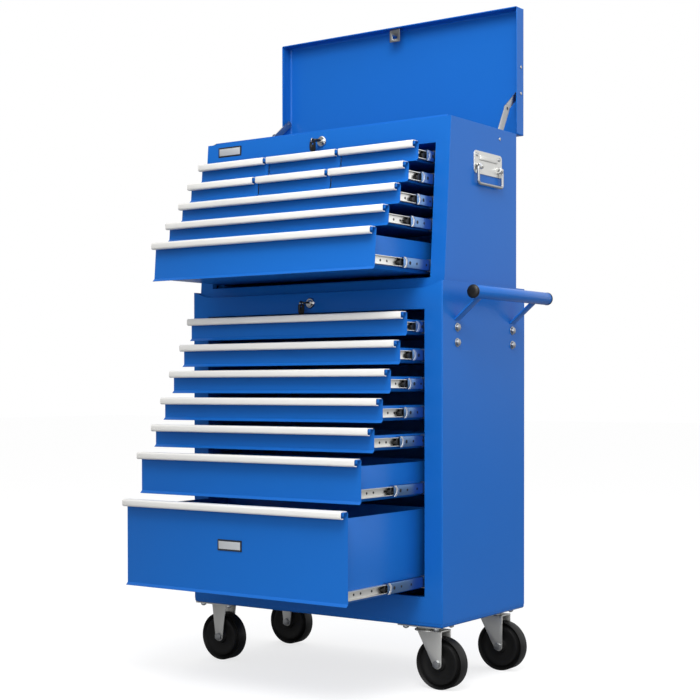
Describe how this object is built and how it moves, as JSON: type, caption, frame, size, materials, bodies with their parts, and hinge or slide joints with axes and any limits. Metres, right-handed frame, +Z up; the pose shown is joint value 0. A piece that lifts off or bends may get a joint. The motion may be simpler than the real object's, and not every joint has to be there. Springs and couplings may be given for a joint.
{
  "type": "rolling tool chest",
  "caption": "Two-part steel tool storage on casters: a roller cabinet of full-width drawers under a top chest with drawers, a lidded compartment, a push bar and keyed locks.",
  "frame": {"origin": "on the floor, under the middle of the cabinet's width and depth, where the four wheels stand", "axes": "+Z up; +Y from the drawer fronts to the back; +X to the side with the push bar and the swivelling casters"},
  "size_m": [0.6925, 0.6085, 1.3613],
  "materials": {
    "blue_enamel": "glossy baked powder coat",
    "zinc_steel": "bright zinc plating",
    "chromed_steel": "polished chrome",
    "key_steel": "nickel plate with black key heads",
    "black_rubber": "smooth black rubber on a black core"
  },
  "bodies": {
    "cabinet": {"cabinet_shell": "blue_enamel", "cabinet_base_pan": "blue_enamel", "cabinet_top_tray": "blue_enamel", "chest_shell": "blue_enamel", "chest_compartment_tray": "blue_enamel", "chest_drawer_dividers": "blue_enamel", "slide_posts": "blue_enamel", "fixed_slide_rails": "zinc_steel", "lid_hinge": "zinc_steel", "push_handle": "blue_enamel", "drop_handle_plates": "zinc_steel", "rigid_caster_brackets": "zinc_steel", "swivel_caster_plates": "zinc_steel", "lock_housings": "chromed_steel", "bolts_and_rivets": "zinc_steel"},
    "cabinet_drawer_7": {"cabinet_drawer_7": "blue_enamel"},
    "cabinet_drawer_7_middle_rails": {"cabinet_drawer_7_slide_rails": "zinc_steel"},
    "cabinet_drawer_6": {"cabinet_drawer_6": "blue_enamel"},
    "cabinet_drawer_6_middle_rails": {"cabinet_drawer_6_slide_rails": "zinc_steel"},
    "cabinet_drawer_5": {"cabinet_drawer_5": "blue_enamel"},
    "cabinet_drawer_5_middle_rails": {"cabinet_drawer_5_slide_rails": "zinc_steel"},
    "cabinet_drawer_4": {"cabinet_drawer_4": "blue_enamel"},
    "cabinet_drawer_4_middle_rails": {"cabinet_drawer_4_slide_rails": "zinc_steel"},
    "cabinet_drawer_3": {"cabinet_drawer_3": "blue_enamel"},
    "cabinet_drawer_3_middle_rails": {"cabinet_drawer_3_slide_rails": "zinc_steel"},
    "cabinet_drawer_2": {"cabinet_drawer_2": "blue_enamel"},
    "cabinet_drawer_2_middle_rails": {"cabinet_drawer_2_slide_rails": "zinc_steel"},
    "cabinet_drawer_1": {"cabinet_drawer_1": "blue_enamel"},
    "cabinet_drawer_1_middle_rails": {"cabinet_drawer_1_slide_rails": "zinc_steel"},
    "chest_drawer_5": {"chest_drawer_5": "blue_enamel"},
    "chest_drawer_5_middle_rails": {"chest_drawer_5_slide_rails": "zinc_steel"},
    "chest_drawer_4": {"chest_drawer_4": "blue_enamel"},
    "chest_drawer_4_middle_rails": {"chest_drawer_4_slide_rails": "zinc_steel"},
    "chest_drawer_3": {"chest_drawer_3": "blue_enamel"},
    "chest_drawer_3_middle_rails": {"chest_drawer_3_slide_rails": "zinc_steel"},
    "chest_drawer_2_left": {"chest_drawer_2_left": "blue_enamel"},
    "chest_drawer_2_left_middle_rails": {"chest_drawer_2_left_slide_rails": "zinc_steel"},
    "chest_drawer_2_middle": {"chest_drawer_2_middle": "blue_enamel"},
    "chest_drawer_2_middle_middle_rails": {"chest_drawer_2_middle_slide_rails": "zinc_steel"},
    "chest_drawer_2_right": {"chest_drawer_2_right": "blue_enamel"},
    "chest_drawer_2_right_middle_rails": {"chest_drawer_2_right_slide_rails": "zinc_steel"},
    "chest_drawer_1_left": {"chest_drawer_1_left": "blue_enamel"},
    "chest_drawer_1_left_middle_rails": {"chest_drawer_1_left_slide_rails": "zinc_steel"},
    "chest_drawer_1_middle": {"chest_drawer_1_middle": "blue_enamel"},
    "chest_drawer_1_middle_middle_rails": {"chest_drawer_1_middle_slide_rails": "zinc_steel"},
    "chest_drawer_1_right": {"chest_drawer_1_right": "blue_enamel"},
    "chest_drawer_1_right_middle_rails": {"chest_drawer_1_right_slide_rails": "zinc_steel"},
    "lid": {"chest_lid": "blue_enamel"},
    "stay_lower": {"lid_stay_lower_links": "zinc_steel"},
    "stay_upper": {"lid_stay_upper_links": "zinc_steel"},
    "drop_handle_grip_right": {"drop_handle_grip_right": "zinc_steel"},
    "drop_handle_grip_left": {"drop_handle_grip_left": "zinc_steel"},
    "caster_wheel_front_left": {"caster_wheel_front_left": "black_rubber"},
    "caster_wheel_back_left": {"caster_wheel_back_left": "black_rubber"},
    "caster_fork_front_right": {"caster_fork_front_right": "zinc_steel"},
    "caster_wheel_front_right": {"caster_wheel_front_right": "black_rubber"},
    "caster_fork_back_right": {"caster_fork_back_right": "zinc_steel"},
    "caster_wheel_back_right": {"caster_wheel_back_right": "black_rubber"},
    "cabinet_lock_plug_and_keys": {"cabinet_lock_plug_and_keys": "key_steel"},
    "chest_lock_plug_and_keys": {"chest_lock_plug_and_keys": "key_steel"}
  },
  "joints": [
    {"name": "cabinet_drawer_7_slide", "type": "slide", "parent": "cabinet", "child": "cabinet_drawer_7", "axis": [0, -1, 0], "range_m": [-0.252, 0.034]},
    {"name": "cabinet_drawer_7_middle_slide", "type": "slide", "parent": "cabinet", "child": "cabinet_drawer_7_middle_rails", "axis": [0, -1, 0], "range_m": [-0.1265, 0.0175]},
    {"name": "cabinet_drawer_6_slide", "type": "slide", "parent": "cabinet", "child": "cabinet_drawer_6", "axis": [0, -1, 0], "range_m": [-0.21, 0.076]},
    {"name": "cabinet_drawer_6_middle_slide", "type": "slide", "parent": "cabinet", "child": "cabinet_drawer_6_middle_rails", "axis": [0, -1, 0], "range_m": [-0.1055, 0.0385]},
    {"name": "cabinet_drawer_5_slide", "type": "slide", "parent": "cabinet", "child": "cabinet_drawer_5", "axis": [0, -1, 0], "range_m": [-0.168, 0.118]},
    {"name": "cabinet_drawer_5_middle_slide", "type": "slide", "parent": "cabinet", "child": "cabinet_drawer_5_middle_rails", "axis": [0, -1, 0], "range_m": [-0.0845, 0.0595]},
    {"name": "cabinet_drawer_4_slide", "type": "slide", "parent": "cabinet", "child": "cabinet_drawer_4", "axis": [0, -1, 0], "range_m": [-0.14, 0.146]},
    {"name": "cabinet_drawer_4_middle_slide", "type": "slide", "parent": "cabinet", "child": "cabinet_drawer_4_middle_rails", "axis": [0, -1, 0], "range_m": [-0.0705, 0.0735]},
    {"name": "cabinet_drawer_3_slide", "type": "slide", "parent": "cabinet", "child": "cabinet_drawer_3", "axis": [0, -1, 0], "range_m": [-0.113, 0.173]},
    {"name": "cabinet_drawer_3_middle_slide", "type": "slide", "parent": "cabinet", "child": "cabinet_drawer_3_middle_rails", "axis": [0, -1, 0], "range_m": [-0.057, 0.087]},
    {"name": "cabinet_drawer_2_slide", "type": "slide", "parent": "cabinet", "child": "cabinet_drawer_2", "axis": [0, -1, 0], "range_m": [-0.081, 0.205]},
    {"name": "cabinet_drawer_2_middle_slide", "type": "slide", "parent": "cabinet", "child": "cabinet_drawer_2_middle_rails", "axis": [0, -1, 0], "range_m": [-0.041, 0.103]},
    {"name": "cabinet_drawer_1_slide", "type": "slide", "parent": "cabinet", "child": "cabinet_drawer_1", "axis": [0, -1, 0], "range_m": [-0.057, 0.229]},
    {"name": "cabinet_drawer_1_middle_slide", "type": "slide", "parent": "cabinet", "child": "cabinet_drawer_1_middle_rails", "axis": [0, -1, 0], "range_m": [-0.029, 0.115]},
    {"name": "chest_drawer_5_slide", "type": "slide", "parent": "cabinet", "child": "chest_drawer_5", "axis": [0, -1, 0], "range_m": [-0.187, 0.035]},
    {"name": "chest_drawer_5_middle_slide", "type": "slide", "parent": "cabinet", "child": "chest_drawer_5_middle_rails", "axis": [0, -1, 0], "range_m": [-0.094, 0.018]},
    {"name": "chest_drawer_4_slide", "type": "slide", "parent": "cabinet", "child": "chest_drawer_4", "axis": [0, -1, 0], "range_m": [-0.148, 0.074]},
    {"name": "chest_drawer_4_middle_slide", "type": "slide", "parent": "cabinet", "child": "chest_drawer_4_middle_rails", "axis": [0, -1, 0], "range_m": [-0.0745, 0.0375]},
    {"name": "chest_drawer_3_slide", "type": "slide", "parent": "cabinet", "child": "chest_drawer_3", "axis": [0, -1, 0], "range_m": [-0.112, 0.11]},
    {"name": "chest_drawer_3_middle_slide", "type": "slide", "parent": "cabinet", "child": "chest_drawer_3_middle_rails", "axis": [0, -1, 0], "range_m": [-0.0565, 0.0555]},
    {"name": "chest_drawer_2_left_slide", "type": "slide", "parent": "cabinet", "child": "chest_drawer_2_left", "axis": [0, -1, 0], "range_m": [-0.087, 0.135]},
    {"name": "chest_drawer_2_left_middle_slide", "type": "slide", "parent": "cabinet", "child": "chest_drawer_2_left_middle_rails", "axis": [0, -1, 0], "range_m": [-0.044, 0.068]},
    {"name": "chest_drawer_2_middle_slide", "type": "slide", "parent": "cabinet", "child": "chest_drawer_2_middle", "axis": [0, -1, 0], "range_m": [-0.087, 0.135]},
    {"name": "chest_drawer_2_middle_middle_slide", "type": "slide", "parent": "cabinet", "child": "chest_drawer_2_middle_middle_rails", "axis": [0, -1, 0], "range_m": [-0.044, 0.068]},
    {"name": "chest_drawer_2_right_slide", "type": "slide", "parent": "cabinet", "child": "chest_drawer_2_right", "axis": [0, -1, 0], "range_m": [-0.087, 0.135]},
    {"name": "chest_drawer_2_right_middle_slide", "type": "slide", "parent": "cabinet", "child": "chest_drawer_2_right_middle_rails", "axis": [0, -1, 0], "range_m": [-0.044, 0.068]},
    {"name": "chest_drawer_1_left_slide", "type": "slide", "parent": "cabinet", "child": "chest_drawer_1_left", "axis": [0, -1, 0], "range_m": [-0.056, 0.166]},
    {"name": "chest_drawer_1_left_middle_slide", "type": "slide", "parent": "cabinet", "child": "chest_drawer_1_left_middle_rails", "axis": [0, -1, 0], "range_m": [-0.0285, 0.0835]},
    {"name": "chest_drawer_1_middle_slide", "type": "slide", "parent": "cabinet", "child": "chest_drawer_1_middle", "axis": [0, -1, 0], "range_m": [-0.056, 0.166]},
    {"name": "chest_drawer_1_middle_middle_slide", "type": "slide", "parent": "cabinet", "child": "chest_drawer_1_middle_middle_rails", "axis": [0, -1, 0], "range_m": [-0.0285, 0.0835]},
    {"name": "chest_drawer_1_right_slide", "type": "slide", "parent": "cabinet", "child": "chest_drawer_1_right", "axis": [0, -1, 0], "range_m": [-0.056, 0.166]},
    {"name": "chest_drawer_1_right_middle_slide", "type": "slide", "parent": "cabinet", "child": "chest_drawer_1_right_middle_rails", "axis": [0, -1, 0], "range_m": [-0.0285, 0.0835]},
    {"name": "lid_hinge", "type": "hinge", "parent": "cabinet", "child": "lid", "pos_m": [0, 0.14, 1.0993], "axis": [1, 0, 0], "range_deg": [0, 90]},
    {"name": "stay_lower_pivot", "type": "hinge", "parent": "cabinet", "child": "stay_lower", "pos_m": [0, 0.068, 1.0793], "axis": [1, 0, 0], "range_deg": [-0.5, 105.43]},
    {"name": "stay_upper_pivot", "type": "hinge", "parent": "lid", "child": "stay_upper", "pos_m": [0, 0.158, 1.1853], "axis": [1, 0, 0], "range_deg": [-110.87, 0.5]},
    {"name": "drop_handle_grip_right_pivot", "type": "hinge", "parent": "cabinet", "child": "drop_handle_grip_right", "pos_m": [0.3085, 0.019, 1.014], "axis": [0, -1, 0], "range_deg": [0, 95]},
    {"name": "drop_handle_grip_left_pivot", "type": "hinge", "parent": "cabinet", "child": "drop_handle_grip_left", "pos_m": [-0.3085, 0.019, 1.014], "axis": [0, 1, 0], "range_deg": [0, 95]},
    {"name": "caster_wheel_front_left_spin", "type": "hinge", "parent": "cabinet", "child": "caster_wheel_front_left", "pos_m": [-0.262, -0.12, 0.05], "axis": [0, 1, 0], "continuous": true},
    {"name": "caster_wheel_back_left_spin", "type": "hinge", "parent": "cabinet", "child": "caster_wheel_back_left", "pos_m": [-0.262, 0.12, 0.05], "axis": [0, 1, 0], "continuous": true},
    {"name": "caster_fork_front_right_swivel", "type": "hinge", "parent": "cabinet", "child": "caster_fork_front_right", "pos_m": [0.25, -0.12, 0.124], "axis": [0, 0, 1], "continuous": true},
    {"name": "caster_wheel_front_right_spin", "type": "hinge", "parent": "caster_fork_front_right", "child": "caster_wheel_front_right", "pos_m": [0.28, -0.12, 0.05], "axis": [0, 1, 0], "continuous": true},
    {"name": "caster_fork_back_right_swivel", "type": "hinge", "parent": "cabinet", "child": "caster_fork_back_right", "pos_m": [0.25, 0.12, 0.124], "axis": [0, 0, 1], "continuous": true},
    {"name": "caster_wheel_back_right_spin", "type": "hinge", "parent": "caster_fork_back_right", "child": "caster_wheel_back_right", "pos_m": [0.28, 0.12, 0.05], "axis": [0, 1, 0], "continuous": true},
    {"name": "cabinet_lock_turn", "type": "hinge", "parent": "cabinet", "child": "cabinet_lock_plug_and_keys", "pos_m": [0, -0.164, 0.75], "axis": [0, -1, 0], "range_deg": [0, 90]},
    {"name": "chest_lock_turn", "type": "hinge", "parent": "cabinet", "child": "chest_lock_plug_and_keys", "pos_m": [0, -0.12456, 1.0783], "axis": [0, -1, 0], "range_deg": [0, 90]}
  ],
  "couplings": [
    {"joint": "cabinet_drawer_7_middle_slide", "follows": "cabinet_drawer_7_slide", "ratio": 0.5},
    {"joint": "cabinet_drawer_6_middle_slide", "follows": "cabinet_drawer_6_slide", "ratio": 0.5},
    {"joint": "cabinet_drawer_5_middle_slide", "follows": "cabinet_drawer_5_slide", "ratio": 0.5},
    {"joint": "cabinet_drawer_4_middle_slide", "follows": "cabinet_drawer_4_slide", "ratio": 0.5},
    {"joint": "cabinet_drawer_3_middle_slide", "follows": "cabinet_drawer_3_slide", "ratio": 0.5},
    {"joint": "cabinet_drawer_2_middle_slide", "follows": "cabinet_drawer_2_slide", "ratio": 0.5},
    {"joint": "cabinet_drawer_1_middle_slide", "follows": "cabinet_drawer_1_slide", "ratio": 0.5},
    {"joint": "chest_drawer_5_middle_slide", "follows": "chest_drawer_5_slide", "ratio": 0.5},
    {"joint": "chest_drawer_4_middle_slide", "follows": "chest_drawer_4_slide", "ratio": 0.5},
    {"joint": "chest_drawer_3_middle_slide", "follows": "chest_drawer_3_slide", "ratio": 0.5},
    {"joint": "chest_drawer_2_left_middle_slide", "follows": "chest_drawer_2_left_slide", "ratio": 0.5},
    {"joint": "chest_drawer_2_middle_middle_slide", "follows": "chest_drawer_2_middle_slide", "ratio": 0.5},
    {"joint": "chest_drawer_2_right_middle_slide", "follows": "chest_drawer_2_right_slide", "ratio": 0.5},
    {"joint": "chest_drawer_1_left_middle_slide", "follows": "chest_drawer_1_left_slide", "ratio": 0.5},
    {"joint": "chest_drawer_1_middle_middle_slide", "follows": "chest_drawer_1_middle_slide", "ratio": 0.5},
    {"joint": "chest_drawer_1_right_middle_slide", "follows": "chest_drawer_1_right_slide", "ratio": 0.5},
    {"joint": "stay_lower_pivot", "follows": "lid_hinge", "ratio": 1.1659},
    {"joint": "stay_upper_pivot", "follows": "lid_hinge", "ratio": -1.2263}
  ]
}
